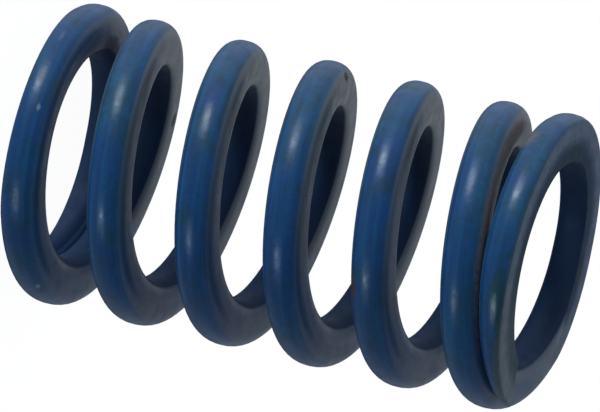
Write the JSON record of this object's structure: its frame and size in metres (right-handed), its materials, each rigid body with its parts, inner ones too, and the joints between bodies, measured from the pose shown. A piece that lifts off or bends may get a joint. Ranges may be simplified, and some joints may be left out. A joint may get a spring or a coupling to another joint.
{
  "type": "die spring",
  "caption": "Right-hand wound compression spring of rounded keystone wire, with closed and ground ends and a clear bore for a guide rod, in blue enamel.",
  "frame": {"origin": "centre of the lower ground end, on the spring's axis", "axes": "+Z along the spring's axis, from the lower ground end to the upper one; the lower wire tip lies on +X"},
  "size_m": [0.025, 0.025, 0.044],
  "materials": {
    "blue_enamel": "thin semi-gloss blue enamel over spring steel, worn to grey on the flanks"
  },
  "bodies": {
    "root": {"die_spring": "blue_enamel"}
  },
  "joints": []
}
